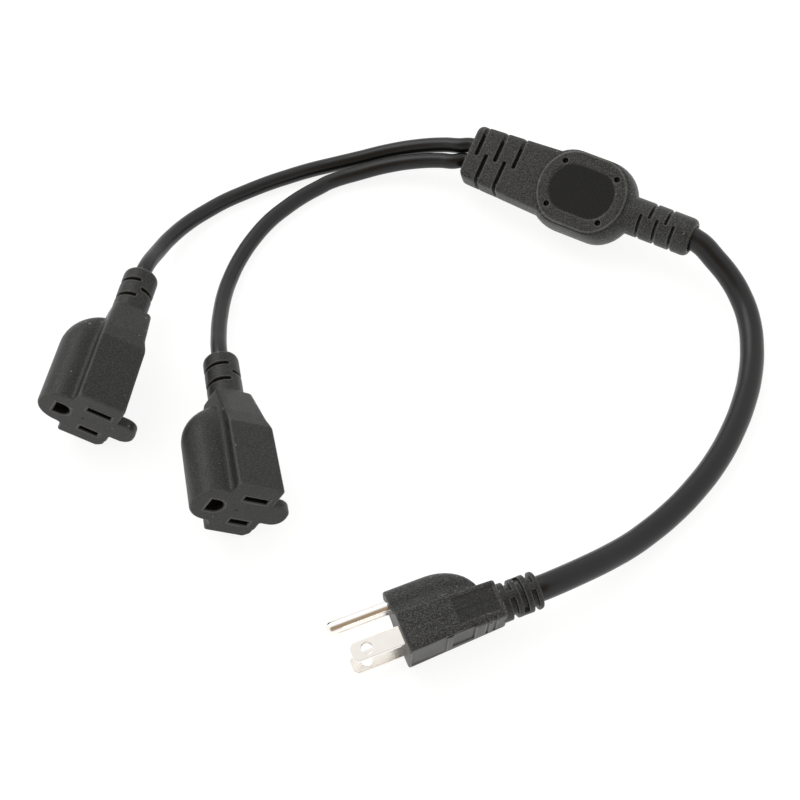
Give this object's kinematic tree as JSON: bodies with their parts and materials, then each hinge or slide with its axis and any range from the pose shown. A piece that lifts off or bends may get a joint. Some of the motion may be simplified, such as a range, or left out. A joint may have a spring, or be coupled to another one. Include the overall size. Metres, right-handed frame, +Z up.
{
  "type": "power cord splitter",
  "caption": "Short grounded extension cord that splits at a flat moulded junction: a moulded plug on one side and two moulded sockets on legs of their own on the other.",
  "frame": {"origin": "on the table below the middle of the plug, junction and sockets", "axes": "+Z up from the table, +X to the viewer's right and +Y away from them, as in the picture"},
  "size_m": [0.252, 0.2253, 0.0307],
  "materials": {
    "moulded_pvc": "black moulded PVC with a fine spark-eroded grain",
    "cord_jacket": "smooth black flexible PVC with a slight gloss",
    "insert_plastic": "black rigid plastic",
    "nickel_plate": "bright nickel plate on brass",
    "contact_brass": "plain sheet brass",
    "tinned_copper": "tinned copper sleeve",
    "line_insulation": "black PVC insulation",
    "neutral_insulation": "white PVC insulation",
    "ground_insulation": "green PVC insulation"
  },
  "bodies": {
    "root": {"left_socket_body": "moulded_pvc", "left_socket_carrier": "insert_plastic", "left_socket_line_contact": "contact_brass", "left_socket_neutral_contact": "contact_brass", "left_socket_ground_contact": "contact_brass", "left_socket_line_wire": "line_insulation", "left_socket_neutral_wire": "neutral_insulation", "left_socket_ground_wire": "ground_insulation", "right_socket_body": "moulded_pvc", "right_socket_carrier": "insert_plastic", "right_socket_line_contact": "contact_brass", "right_socket_neutral_contact": "contact_brass", "right_socket_ground_contact": "contact_brass", "right_socket_line_wire": "line_insulation", "right_socket_neutral_wire": "neutral_insulation", "right_socket_ground_wire": "ground_insulation", "plug_body": "moulded_pvc", "plug_bridge": "insert_plastic", "plug_line_blade": "nickel_plate", "plug_neutral_blade": "nickel_plate", "plug_ground_pin": "nickel_plate", "plug_line_wire": "line_insulation", "plug_neutral_wire": "neutral_insulation", "plug_ground_wire": "ground_insulation", "junction_body": "moulded_pvc", "line_splice_crimp": "tinned_copper", "junction_main_line_wire": "line_insulation", "junction_left_leg_line_wire": "line_insulation", "junction_right_leg_line_wire": "line_insulation", "neutral_splice_crimp": "tinned_copper", "junction_main_neutral_wire": "neutral_insulation", "junction_left_leg_neutral_wire": "neutral_insulation", "junction_right_leg_neutral_wire": "neutral_insulation", "ground_splice_crimp": "tinned_copper", "junction_main_ground_wire": "ground_insulation", "junction_left_leg_ground_wire": "ground_insulation", "junction_right_leg_ground_wire": "ground_insulation", "main_cord": "cord_jacket", "left_leg_cord": "cord_jacket", "right_leg_cord": "cord_jacket"}
  },
  "joints": []
}
